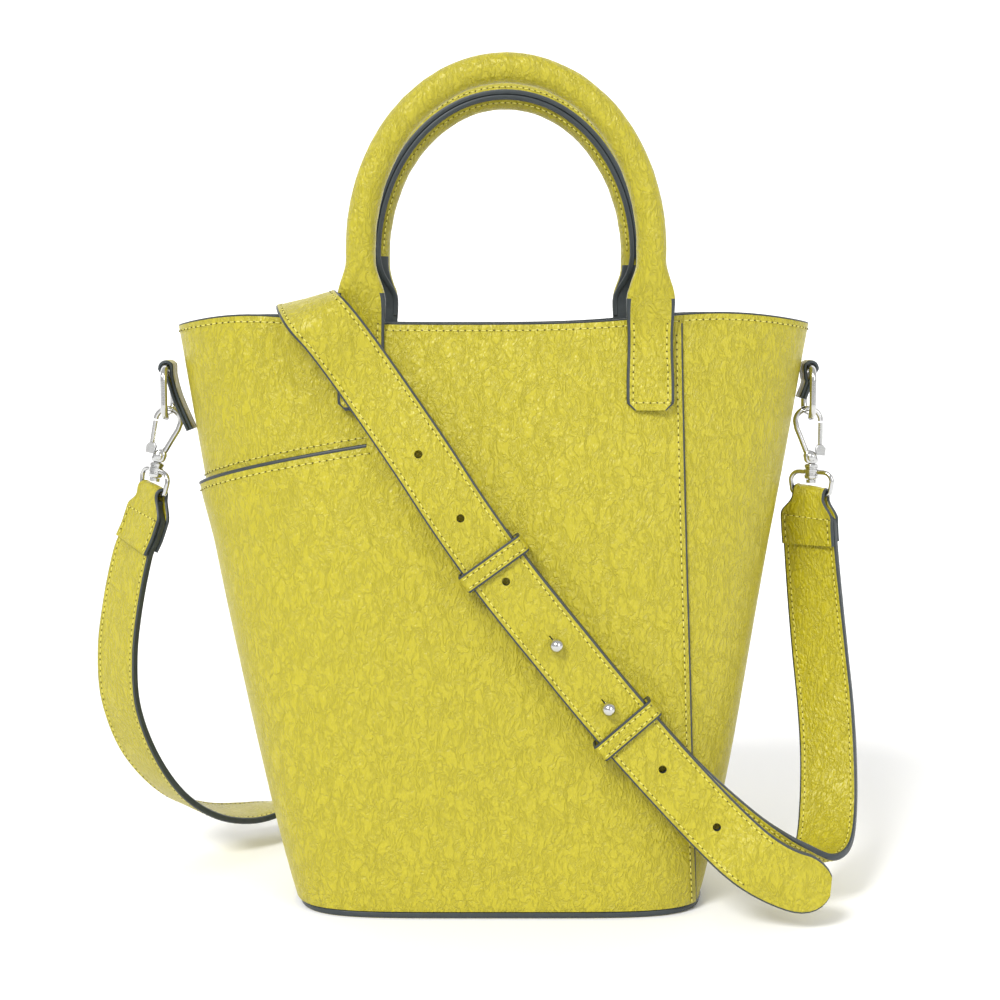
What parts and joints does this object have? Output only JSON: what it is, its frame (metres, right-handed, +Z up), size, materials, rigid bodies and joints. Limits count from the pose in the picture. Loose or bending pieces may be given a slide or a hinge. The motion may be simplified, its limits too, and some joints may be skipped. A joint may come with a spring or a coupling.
{
  "type": "bucket tote handbag",
  "caption": "Open leather bucket tote with two rolled handles and a detachable studded shoulder strap on snap hooks.",
  "frame": {"origin": "middle of the base's underside", "axes": "+Z up through the mouth, front faces -Y, +X to the right seen from the front"},
  "size_m": [0.3708, 0.1888, 0.3914],
  "materials": {
    "lime_leather": "pebbled, semi-matte",
    "lining_fabric": "woven",
    "board": "plain",
    "rope_core": "twisted",
    "plated_metal": "polished"
  },
  "bodies": {
    "bag": {"back_panel": "lime_leather", "ball_studs": "plated_metal", "base_board": "board", "base_panel": "lime_leather", "chape_left": "lime_leather", "chape_right": "lime_leather", "front_overlay_panel": "lime_leather", "front_panel": "lime_leather", "handle_tab_back_left": "lime_leather", "handle_tab_back_right": "lime_leather", "handle_tab_front_left": "lime_leather", "handle_tab_front_right": "lime_leather", "keeper_upper": "lime_leather", "lining": "lining_fabric", "right_wrap_panel": "lime_leather", "strap_fold_left": "lime_leather", "strap_fold_right": "lime_leather", "strap_long": "lime_leather", "strap_stud": "lime_leather", "swivel_d_left": "plated_metal", "swivel_d_right": "plated_metal"},
    "handle_front": {"handle_front_cover": "lime_leather", "handle_front_core": "rope_core"},
    "handle_back": {"handle_back_cover": "lime_leather", "handle_back_core": "rope_core"},
    "sliding_keeper": {"keeper_lower": "lime_leather"},
    "ring_left": {"ring_left": "plated_metal"},
    "hook_left": {"hook_left_body": "plated_metal", "swivel_post_left": "plated_metal", "plate_rivet_left": "plated_metal", "gate_left_pin": "plated_metal"},
    "gate_left": {"gate_left": "plated_metal"},
    "ring_right": {"ring_right": "plated_metal"},
    "hook_right": {"hook_right_body": "plated_metal", "swivel_post_right": "plated_metal", "plate_rivet_right": "plated_metal", "gate_right_pin": "plated_metal"},
    "gate_right": {"gate_right": "plated_metal"}
  },
  "joints": [
    {"name": "handle_front_fold", "type": "hinge", "parent": "bag", "child": "handle_front", "pos_m": [0.0027, -0.055, 0.29], "axis": [1, 0, 0], "range_deg": [-20, 90]},
    {"name": "handle_back_fold", "type": "hinge", "parent": "bag", "child": "handle_back", "pos_m": [0.0027, 0.055, 0.29], "axis": [1, 0, 0], "range_deg": [-90, 20]},
    {"name": "ring_left_swing", "type": "hinge", "parent": "bag", "child": "ring_left", "pos_m": [-0.159, 0, 0.2505], "axis": [0, 1, 0], "range_deg": [-3, 3]},
    {"name": "hook_left_turn", "type": "hinge", "parent": "bag", "child": "hook_left", "pos_m": [-0.16569, 0, 0.20076], "axis": [0.1736, 0, 0.9848], "range_deg": [-12, 12]},
    {"name": "gate_left_open", "type": "hinge", "parent": "hook_left", "child": "gate_left", "pos_m": [-0.16758, 0, 0.21308], "axis": [0, 1, 0], "range_deg": [0, 20], "stiffness_Nm_per_rad": 0.01},
    {"name": "ring_right_swing", "type": "hinge", "parent": "bag", "child": "ring_right", "pos_m": [0.148, 0, 0.2505], "axis": [0, 1, 0], "range_deg": [-3, 3]},
    {"name": "hook_right_turn", "type": "hinge", "parent": "bag", "child": "hook_right", "pos_m": [0.15, 0, 0.2], "axis": [0, 0, 1], "range_deg": [-12, 12]},
    {"name": "gate_right_open", "type": "hinge", "parent": "hook_right", "child": "gate_right", "pos_m": [0.154, 0, 0.2118], "axis": [0, -1, 0], "range_deg": [0, 20], "stiffness_Nm_per_rad": 0.01},
    {"name": "keeper_slide", "type": "slide", "parent": "bag", "child": "sliding_keeper", "axis": [0.651, -0.04, -0.758], "range_m": [-0.004, 0.016]}
  ]
}
